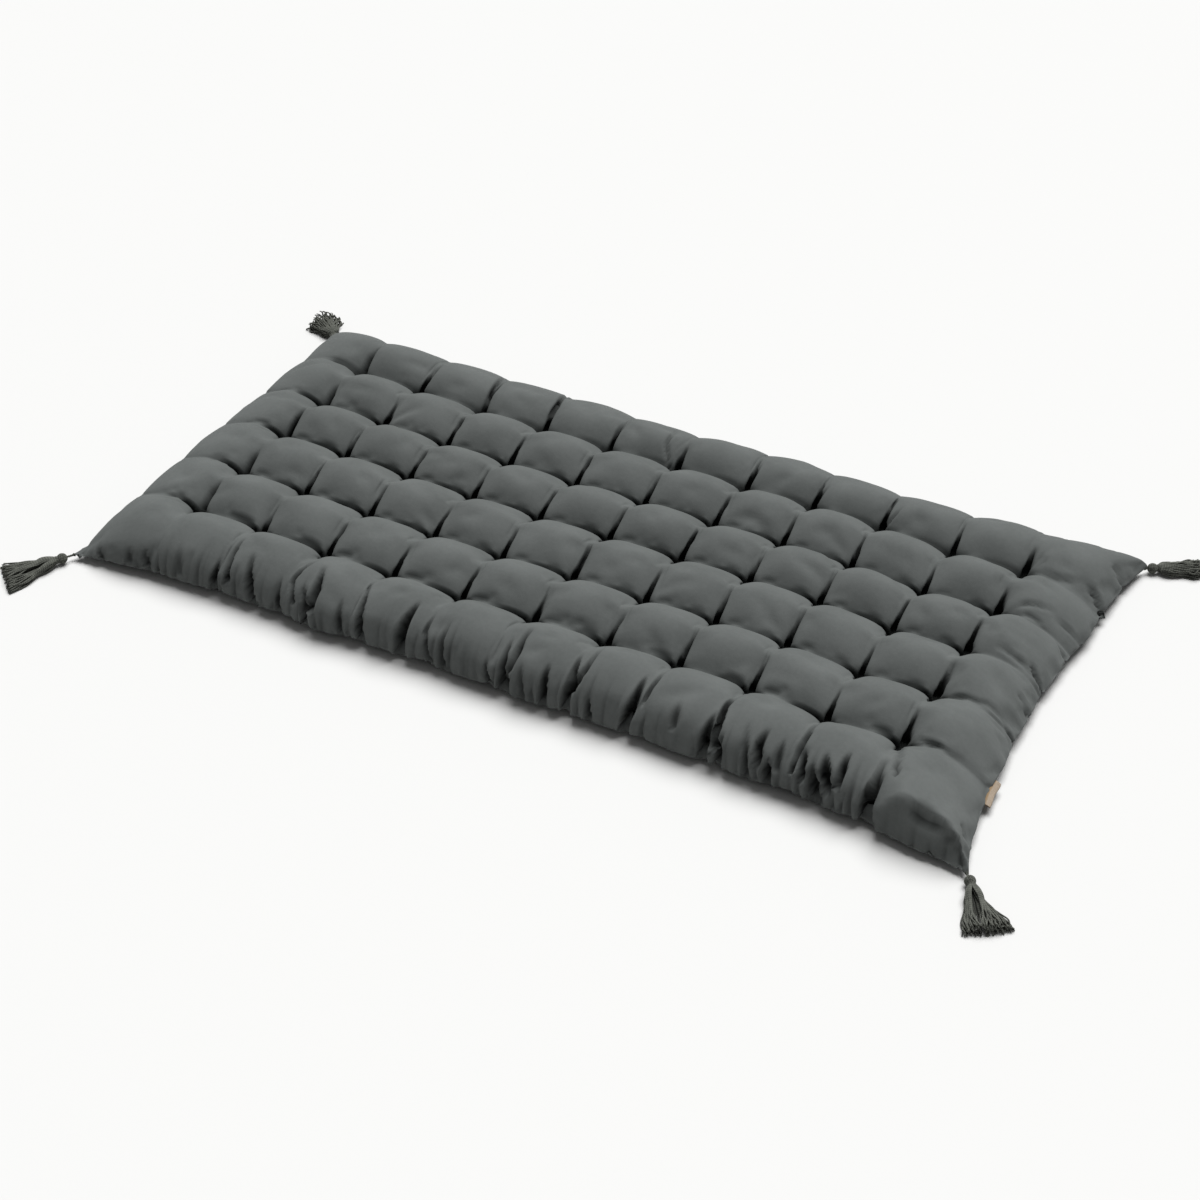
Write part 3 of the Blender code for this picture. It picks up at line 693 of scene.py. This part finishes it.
def pressFolds(mesh):
    along, across, isTop = (factOf(mesh, fact) for fact in clothFacts)
    cloth = clothPlace(along, across)
    places, normals = placesOf(mesh), placesOf(mesh, "normal")
    hem = np.clip((rimShare(along, across) - folding["hem"]) / (1 - folding["hem"]), 0, 1)
    on = np.where(isTop > 0.5, 1, hem)
    push, tuck = np.zeros(len(places)), np.zeros(len(places))

    def press(line, width, depth, kind, into=push, **facts):
        route = np.array(line)
        low, high = route.min(axis=0) - 0.4, route.max(axis=0) + 0.4
        chosen = (on > 0) & (along > low[0]) & (along < high[0]) & (across > low[1]) & (across < high[1])
        height = foldHeight(cloth[chosen], line, width, depth, **{**folding[kind], **facts})
        into[chosen] = np.minimum(into[chosen], height) if into is tuck else into[chosen] + height

    for line, width, depth in frontFolds:
        kind = "deep" if depth > folding["deepOver"] else "shallow"
        wider, deeper = folding["gain"][kind]
        press(line, width * wider, depth * deeper, kind)
    for line, width, depth in sideFolds:  # the ones that reach an end seam don't fade there
        closing = 0 if line[-1][0] in (0, cellsLong) else folding["side"]["closing"]
        press(line, width, depth, "side", closing=closing)
    for line, width, depth in cornerFolds:
        press(line, width, depth, "corner")
    draw = random.Random(tucks["seed"])
    for column in range(1, cellsLong):
        for row in range(1, cellsWide):
            for (right, far), width, depth in tucks["ways"]:
                size = 1 + draw.uniform(-1, 1) * tucks["vary"]
                lean = draw.uniform(*tucks["lean"])
                line = [(column, row), (column + right * size * 0.5 + lean / 2, row + far * size * 0.6)]
                line.append((column + right * size + lean, row + far * size))
                press(line, width, depth * size, "tuck", tuck)
            for _ in range(tucks["puckers"]):
                heading = draw.uniform(0, math.tau)
                reach = draw.uniform(*tucks["puckerMm"]) * mm / mattress["pitch"]
                end = (column + reach * math.cos(heading), row + reach * math.sin(heading))
                depth = draw.uniform(*tucks["puckerDepthMm"])
                press([(column, row), end], tucks["puckerWidthMm"], depth, "pucker")
    draw = random.Random(ripples["seed"])
    for side, seam, inward in (("front", 0, 1), ("back", cellsWide, -1)):
        facts = ripples[side]
        for column in range(cellsLong):
            count = draw.randint(*facts["perCell"])
            for index in range(count):
                place = column + (index + draw.uniform(0.2, 0.8)) / count
                reach = draw.uniform(*facts["reach"])
                line = [(place + draw.uniform(-0.05, 0.05), seam + inward * reach), (place, seam)]
                press(line, draw.uniform(*facts["widthMm"]), draw.uniform(*facts["depthMm"]), "ripple")
    # Painted shade for the cloth's colour, from how deep it lies in its folds, tucks and pits
    pit = pits["depth"] * np.exp(-(tuftDistance(mesh) / pits["radius"]) ** 2)
    depth = -(push + tuck * folding["tuckShade"] - pit * folding["pitShade"])
    setFact(mesh, "paintedCreaseShade", np.clip(depth / folding["darkAt"], 0, 1) * on)
    places = places + normals * ((push + tuck) * on)[:, None]
    places[:, 2] = np.maximum(places[:, 2], 0)
    setPlaces(mesh, places)


# Tuft pits and the soft dents that handling leaves in the filling
pits = {"radius": 6.5 * mm, "depth": 10 * mm}
dents = {
    "seed": 5, "perCell": 3, "turn": 0.7,  # radians either way
    "longMm": (11, 24), "shortMm": (6, 11), "depthMm": (1, 3), "crestMm": 2.2,
}


def pressPits(mesh):
    places = placesOf(mesh)
    places[:, 2] -= pits["depth"] * np.exp(-(tuftDistance(mesh) / pits["radius"]) ** 2)
    setPlaces(mesh, places)


def pressDents(mesh):
    draw = np.random.default_rng(dents["seed"])
    along, across, isTop = (factOf(mesh, fact) for fact in clothFacts)
    cloth, places, normals = clothPlace(along, across), placesOf(mesh), placesOf(mesh, "normal")
    push = np.zeros(len(places))
    for column in range(cellsLong):
        for row in range(cellsWide):
            near = (np.abs(along - column - 0.5) < 0.9) & (np.abs(across - row - 0.5) < 0.9)
            chosen = np.nonzero(near & (isTop > 0.5))[0]
            middle = clothPlace(np.array([column + 0.5]), np.array([row + 0.5]))[0]
            away = np.linalg.norm(cloth[chosen] - middle, axis=1) / (0.5 * mattress["pitch"])
            push[chosen] += draw.uniform(-1, 1) * dents["crestMm"] * mm * np.exp(-away ** 2 * 2)
            for _ in range(dents["perCell"]):
                spotAlong, spotAcross = column + draw.uniform(0.15, 0.85), row + draw.uniform(0.15, 0.85)
                spot = clothPlace(np.array([spotAlong]), np.array([spotAcross]))[0]
                turn = draw.uniform(-dents["turn"], dents["turn"])
                offset = cloth[chosen] - spot
                longway = offset @ (math.cos(turn), math.sin(turn)) / (draw.uniform(*dents["longMm"]) * mm)
                shortway = offset @ (-math.sin(turn), math.cos(turn)) / (draw.uniform(*dents["shortMm"]) * mm)
                push[chosen] -= draw.uniform(*dents["depthMm"]) * mm * np.exp(-longway ** 2 - shortway ** 2)
    setPlaces(mesh, places + normals * push[:, None])


pressDents(cover.data)
pressPits(cover.data)
pressFolds(cover.data)
cover.data.shade_smooth()
dressPiece(cover, cotton, "grey_cotton", "mattress")
print("folds pressed in")


# The label: a bare woven tape folded along its middle, with its two long edges caught in the side seam
tapeFinish = {
    "colours": ("#7A6D60", "#928474", "#A59888"),
    "shadeAt": (0.2, 0.5, 0.8),
    "edgeColour": "#776040",  # the seam's stitches along the fold's root
    "ribMm": 0.9,
    "roughness": 0.85,
}
label = {
    "middle": 0.985,  # cells across, on the right side
    "length": 45 * mm, "reach": 7 * mm, "inside": 1.2 * mm,
    "fold": 0.6 * mm, "ply": 0.45 * mm, "droop": 2.6 * mm,
    "steps": (48, 30),
}


def tapeMaterial():
    material, tree = newMaterial("woven_polyester_tape")
    tape = addNode(tree, "UVMap", {"uv_map": "cloth"}).outputs[0]  # metres along and around the fold
    ribFacts = {"Scale": math.tau / (20 * tapeFinish["ribMm"] * mm), "Distortion": 0.4, "Detail": 1.0}
    ribs = addNode(tree, "TexWave", {"bands_direction": "X"}, ribFacts, {"Vector": tape}).outputs["Fac"]
    shades = addNode(tree, "TexNoise", {}, {"Scale": 420.0, "Detail": 3.0}, {"Vector": tape}).outputs["Fac"]
    mixed = addNode(tree, "Mix", {"data_type": "FLOAT"}, {"Factor": 0.5}, {2: ribs, 3: shades}).outputs[0]
    colour = darkened(tree, dyeShades(tree, mixed, tapeFinish), "rooted", tapeFinish["edgeColour"])
    bump = addNode(tree, "Bump", {}, {"Strength": 0.5, "Distance": 0.15 * mm}, {"Height": ribs})
    finishMaterial(tree, colour, bump.outputs[0], tapeFinish["roughness"], 0.1, "#B0A090")
    return material


def buildLabel():
    counts = label["steps"]
    bpy.ops.mesh.primitive_grid_add(x_subdivisions=counts[0], y_subdivisions=counts[1], size=2)
    piece = bpy.context.object
    piece.name = piece.data.name = "folded_tape"
    mesh = piece.data
    run, around = ((placesOf(mesh)[:, axis] + 1) / 2 for axis in (0, 1))
    seamPlaces = np.linspace(0.5, 1.5, 200)
    seamLine = coverPoint(np.full(200, float(cellsLong)), seamPlaces, True)
    seamRun = clothLengths(seamLine)
    fromMiddle = (run - 0.5) * label["length"]
    places = np.interp(np.interp(label["middle"], seamPlaces, seamRun) + fromMiddle, seamRun, np.arange(200))
    root = np.stack([np.interp(places, np.arange(200), seamLine[:, axis]) for axis in range(3)], axis=-1)
    rounded = 1 - 0.10 * (2 * run - 1) ** 6 + 0.03 * np.sin(7 * run + 1)
    straight = (label["inside"] + label["reach"]) * rounded
    whole = 2 * straight + math.pi * label["fold"]
    path = around * whole
    turn = np.clip((path - straight) / label["fold"], 0, math.pi)
    back = np.maximum(0, path - straight - math.pi * label["fold"])
    outward = np.minimum(path, straight) - label["inside"] + label["fold"] * np.sin(turn) - back
    upward = label["fold"] * np.cos(turn)
    hang = label["droop"] * (np.maximum(0, outward) / label["reach"]) ** 1.6
    wave = 0.7 * mm * np.sin(5.2 * run + 0.6) * np.maximum(0, outward) / label["reach"]
    root[:, 0] += outward
    root[:, 2] += upward - hang + wave - 1.0 * mm * (1 - run) ** 3
    setPlaces(mesh, root)
    rooted = 0.8 * np.clip(1 - (outward - 0.4 * mm) / (1.6 * mm), 0, 1)
    setFact(mesh, "rooted", rooted)
    layCloth(mesh, np.stack([fromMiddle, path], axis=-1))
    ply = piece.modifiers.new("ply", "SOLIDIFY")
    ply.thickness, ply.offset = label["ply"], 0
    bpy.ops.object.modifier_apply(modifier=ply.name)
    mesh.shade_smooth()
    dressPiece(piece, tapeMaterial(), "tan_tape", "label")


buildLabel()
print("label folded")


# Tassels: yarns from a looped head through a wound neck to a loose skirt on the floor
tassels = {  # degrees, stem, skirt, fan, slant and pile as in the frame, then how the yarns lie
    "front_left": {"degrees": -120, "stem": 11, "skirt": 63, "fan": 64, "slant": 14, "pile": 15, "curl": 0.25,
                   "ends": 0, "shoulder": 2.4, "gap": (0.42, 4), "sweep": (1, 1), "muss": 1},
    "front_right": {"degrees": -53, "stem": 8, "skirt": 68, "fan": 62, "slant": 0, "pile": 16, "curl": 1.1,
                    "ends": 0.06, "shoulder": 2.4, "gap": (-0.3, 3.6), "sweep": (0.8, 1.7), "muss": 1},
    "back_right": {"degrees": 31, "stem": 4, "skirt": 56, "fan": 29, "slant": -6, "pile": 20, "curl": 1.4,
                   "ends": 0.25, "shoulder": 1.5, "gap": (0.1, 0.8), "sweep": (0.3, 0.3), "muss": 1.6},
    "back_left": {"degrees": 140, "stem": 2, "skirt": 46, "fan": 48, "slant": 0, "pile": 22, "curl": 2.4,
                  "ends": 0.3, "shoulder": 3, "gap": (0, 1), "sweep": (0.8, 0.8), "muss": 2.6},
}
tasselMake = {
    "axisHeight": 8 * mm, "headRadius": 6.8 * mm, "neckRadius": 4.2 * mm, "neckLength": 4.4 * mm,
    "yarnRadius": 0.95 * mm, "headYarns": 20, "layers": 4, "yarnsPerLayer": 24, "rings": 34, "sides": 6,
    "stemRadius": 1.4 * mm, "threadRadius": 0.65 * mm, "bandTurns": 4, "tipInset": 0.02,
}


# One mesh of round yarns, each a list of points with a radius for each point, and a share of painted shade
# kept as its inner attribute
def tubeMesh(name, tubes, sides):
    points, faces, cloth, inner = [], [], [], []
    for path, radii, deep in tubes:
        path = np.array(path)
        run = np.gradient(path, axis=0)
        run /= np.linalg.norm(run, axis=1)[:, None]
        side = np.cross(run[0], (0.13, 0.29, 0.95))
        sideways = []
        for direction in run:  # the section turns as little as it can
            side = side - direction * (side @ direction)
            side = side / np.linalg.norm(side)
            sideways.append(side)
        sideways = np.array(sideways)
        upward = np.cross(run, sideways)
        turn = np.arange(sides) / sides * math.tau
        rings = path[:, None] + np.array(radii)[:, None, None] * (
            np.cos(turn)[None, :, None] * sideways[:, None] + np.sin(turn)[None, :, None] * upward[:, None]
        )
        first = len(points)
        points += rings.reshape(-1, 3).tolist()
        inner += [deep] * (len(path) * sides)
        length = clothLengths(path)
        for ring in range(len(path) - 1):
            for corner in range(sides):
                following = (corner + 1) % sides
                base = first + ring * sides
                above = base + sides
                faces.append((base + corner, base + following, above + following, above + corner))
                near, far = corner / sides, (corner + 1) / sides
                start, end = length[ring], length[ring + 1]
                cloth += [(start, near), (start, far), (end, far), (end, near)]
        for ring, way in ((0, -1), (len(path) - 1, 1)):
            cap = [first + ring * sides + corner for corner in range(sides)]
            faces.append(tuple(cap[::way]))
            cloth += [(length[ring], 0.5)] * sides
    mesh = bpy.data.meshes.new(name)
    mesh.from_pydata(points, [], faces)
    mesh.uv_layers.new(name="cloth").data.foreach_set("uv", np.array(cloth).ravel())
    setFact(mesh, "inner", inner)
    mesh.update()
    mesh.shade_smooth()
    return mesh


def addPiece(name, mesh, material, slot, *nodes):
    piece = bpy.data.objects.new(name, mesh)
    bpy.context.scene.collection.objects.link(piece)
    dressPiece(piece, material, slot, *nodes)


def shares(count):  # even steps from 0 to 1
    return [step / (count - 1) for step in range(count)]


def atAngle(x, out, angle):
    return x, out * math.cos(angle), out * math.sin(angle)


# Yarns looped over the top of the head and drawn in at the neck
def headYarns(stemEnd, neckStart):
    make, tubes = tasselMake, []
    radius = make["headRadius"] - make["yarnRadius"]
    for index in range(make["headYarns"]):
        around = (index + 0.5) / make["headYarns"] * math.tau
        path = []
        for share in shares(12):
            angle = math.radians(8 + 150 * share)
            x = stemEnd + make["headRadius"] - radius * 1.05 * math.cos(angle)
            out = max(radius * math.sin(angle), 0.8 * mm) if share < 0.8 else radius * math.sin(angle)
            swirl = around + 0.22 * math.sin(math.pi * share)
            path.append(atAngle(x, out, swirl))
        path.append(atAngle(neckStart + 1 * mm, make["neckRadius"] - 0.6 * mm, around))
        tubes.append((path, [make["yarnRadius"]] * len(path), 0.3 * (index % 2)))
    return tubes


def skirtYarns(size, neckEnd, floor, draw):
    make, tubes = tasselMake, []
    fan, pile = size["fan"] * mm, size["pile"] * mm
    for layer in range(make["layers"]):
        count = make["yarnsPerLayer"]
        for index in range(count):
            across = (2 * index + 1) / count - 1 + draw.uniform(-0.03, 0.03)
            level = 2 * layer / (make["layers"] - 1) - 1
            rootAngle = math.asin(max(-0.95, min(0.95, across)))
            rootRadius = make["neckRadius"] - 0.9 * mm
            rootY, rootZ = rootRadius * math.sin(rootAngle) * 0.95, rootRadius * level * math.cos(rootAngle)
            uneven = (0.03 + 0.3 * size["ends"]) * draw.random()
            spare = 1 - size["ends"] * across * across - uneven - 0.02 * layer
            length = size["skirt"] * mm * spare + 6 * mm + size["slant"] / 2 * mm * across
            endY = across * fan / 2 * (1 - 0.05 * layer) + draw.uniform(-1, 1) * mm
            lift = (layer + 0.3 * draw.random()) / make["layers"] * pile * (1 - 0.45 * across * across)
            endZ = floor + make["yarnRadius"] + lift * 0.85
            muss = size["muss"] * mm
            waves = []
            for _ in range(3):
                waves.append((draw.uniform(0.4, 1.2) * muss, draw.uniform(1, 2.4), draw.uniform(0, 6.28)))
            curl = size["curl"] * mm * draw.uniform(0.4, 1.3)
            curlTurns, curlStart = draw.uniform(0.5, 1.2), draw.uniform(0, 6.28)
            gapAt, gapWide = size["gap"]
            parted = math.copysign(gapWide, across - gapAt) * math.exp(-((across - gapAt) / 0.45) ** 2) * mm
            parted = parted if layer >= 2 else 0
            sweep = size["sweep"][0] if across < gapAt else size["sweep"][1]
            # Painted shade: darker for the two lower layers, most of all under the parting, with some at
            # random
            inner = 0.75 * math.exp(-((across - gapAt) / 0.2) ** 2) if layer < 2 else 0
            inner = max(inner, draw.uniform(-0.1, 0.25) + (0.2 if layer < 2 else 0), 0)
            path, radii = [], []
            for share in shares(make["rings"]):
                flare = (eased(min(1, share * 1.1)) * 0.35 + share * 0.65) ** sweep
                fall = min(1, share * 1.6) ** 1.2
                x = neckEnd - 2 * mm + (length + 2 * mm) * share
                apart = math.sin(math.pi * max(0, min(1, (share - 0.1) / 0.85)))
                y = rootY + (endY - rootY) * flare + parted * apart
                z = rootZ + (endZ - rootZ) * fall
                shoulder = size["shoulder"] * mm * math.sin(math.pi * min(1, share / 0.35)) ** 0.6
                y += shoulder * math.sin(rootAngle)
                z += shoulder * level
                for height, rate, phase in waves:
                    y += height * math.sin(rate * math.tau * share + phase) * share
                    z += 0.35 * height * math.sin(rate * math.tau * share + 2 * phase) * share
                tail = max(0, (share - 0.78) / 0.22)
                y += curl * tail * math.sin(curlTurns * math.tau * tail + curlStart)
                z += curl * tail * (1 + math.sin(curlTurns * math.tau * tail + curlStart + 1.57))
                x -= curl * tail * 0.6
                z = max(z, floor + make["yarnRadius"] * 0.95)
                path.append((x, y, z))
                radii.append(make["yarnRadius"] * (1.0 - 0.25 * max(0, (share - 0.93) / 0.07)))
            tubes.append((path, radii, inner))
    return tubes


# The two-ply thread that hangs the head on the corner, with its sewing knot
def stemYarns(stemEnd):
    make, tubes = tasselMake, []
    for ply in (0, math.pi):
        path = []
        for share in shares(16):
            angle = ply + share * (stemEnd + 3 * mm) / (5 * mm) * math.tau
            path.append(atAngle(-0.5 * mm + (stemEnd + 2.5 * mm) * share, 0.55 * make["stemRadius"], angle))
        tubes.append((path, [0.6 * make["stemRadius"]] * len(path), 0.2))
    for turn in range(2):
        path = []
        for share in shares(13):
            angle = share * math.tau
            x = (0.9 + 1.1 * turn) * mm + 0.5 * mm * math.sin(angle)
            path.append(atAngle(x, (1.9 - 0.35 * turn) * mm, angle))
        tubes.append((path, [0.6 * mm] * len(path), 0.2))
    return tubes


def bandYarn(neckStart):
    make, path = tasselMake, []
    out = make["neckRadius"] + 0.55 * make["threadRadius"]
    for share in shares(make["bandTurns"] * 14 + 1):
        angle = share * make["bandTurns"] * math.tau
        x = neckStart + make["threadRadius"] + (make["neckLength"] - 2 * make["threadRadius"]) * share
        path.append(atAngle(x, out, angle))
    return [(path, [make["threadRadius"]] * len(path), 0.35)]


def buildTassel(name, size):
    draw = random.Random(name)
    make = tasselMake
    inset = make["tipInset"]
    along = inset if name.endswith("left") else cellsLong - inset
    across = inset if name.startswith("front") else cellsWide - inset
    tip = coverPoint(np.array([along]), np.array([across]), True)[0]
    heading = math.radians(size["degrees"])
    turn = Matrix.Translation((tip[0], tip[1], make["axisHeight"])) @ Matrix.Rotation(heading, 4, "Z")
    stemEnd = size["stem"] * mm
    neckStart = stemEnd + 2 * make["headRadius"] - 1 * mm
    neckEnd = neckStart + make["neckLength"]
    tubes = stemYarns(stemEnd) + headYarns(stemEnd, neckStart)
    tubes += skirtYarns(size, neckEnd, -make["axisHeight"], draw)
    mesh = tubeMesh("yarns_" + name, tubes, make["sides"])
    mesh.transform(turn)
    addPiece("tassel_" + name + "_yarns", mesh, yarn, "grey_yarn", "tassel_" + name)
    band = tubeMesh("thread_" + name, bandYarn(neckStart), 8)
    band.transform(turn)
    addPiece("band_" + name + "_thread", band, yarn, "grey_yarn", "band_" + name)
    return len(mesh.polygons) * 2


for name, size in tassels.items():
    print("tassel", name, buildTassel(name, size), "triangles")


# At each tuft a short bar of thread goes down through the cover and up again
stitches = {"length": 7 * mm, "threads": 3, "apart": 1.1 * mm, "radius": 0.6 * mm, "rings": 9, "seed": 8}


def tuftThreads(mesh):
    draw = random.Random(stitches["seed"])
    places, tubes = placesOf(mesh), []
    near = tuftDistance(mesh) < 4 * mm
    places = places[near]
    along, across = factOf(mesh, "along")[near], factOf(mesh, "across")[near]
    for column in range(1, cellsLong):
        for row in range(1, cellsWide):
            here = places[(np.rint(along) == column) & (np.rint(across) == row)]
            x, y = here[:, :2].mean(axis=0)
            top = np.percentile(here[:, 2], 80)
            turn = draw.uniform(-0.3, 0.3)
            for thread in range(stitches["threads"]):
                off = (thread - (stitches["threads"] - 1) / 2) * stitches["apart"]
                path = []
                for share in shares(stitches["rings"]):
                    share = share * 2 - 1
                    run = share * stitches["length"] / 2
                    sideways = run * math.cos(turn) - off * math.sin(turn)
                    lengthways = run * math.sin(turn) + off * math.cos(turn)
                    path.append((x + sideways, y + lengthways, top + 0.4 * mm - 6 * mm * share ** 4))
                # Painted shade on the threads, which lie down in the pits
                tubes.append((path, [stitches["radius"]] * len(path), 0.75))
    return tubes


addPiece("tuft_stitches", tubeMesh("tuft_threads", tuftThreads(cover.data), 6), yarn, "grey_yarn")
print("tuft stitches laid")


# Floor and light: one broad soft light from behind on the left, and a dim even surround
studio = {
    "floorColour": "#CCCCCB",
    "world": 0.2,
    "suns": [  # the way to it, strength, and how wide it is in degrees
        ((-0.05, 0.62, 1.35), 4.75, 50),
    ],
}
bpy.ops.mesh.primitive_plane_add(size=14)
floor = bpy.context.object
floor.name = "floor"
material, tree = newMaterial("matte_white_floor")
shader = addNode(tree, "BsdfPrincipled", {}, {"Base Color": linear(studio["floorColour"]), "Roughness": 0.9})
addNode(tree, "OutputMaterial", links={"Surface": shader.outputs[0]})
floor.data.materials.append(material)
world = bpy.data.worlds.new("softWorld")
bpy.context.scene.world = world
world.use_nodes = True
world.node_tree.nodes["Background"].inputs[0].default_value = (1, 1, 1, 1)
world.node_tree.nodes["Background"].inputs[1].default_value = studio["world"]
for wayTo, strength, wide in studio["suns"]:
    bpy.ops.object.light_add(type="SUN", location=wayTo)
    lamp = bpy.context.object
    lamp.data.energy, lamp.data.angle = strength, math.radians(wide)
    lamp.rotation_euler = (-Vector(wayTo)).to_track_quat("-Z", "Y").to_euler()
bpy.context.scene.view_settings.view_transform = "Standard"
print("floor and light set")
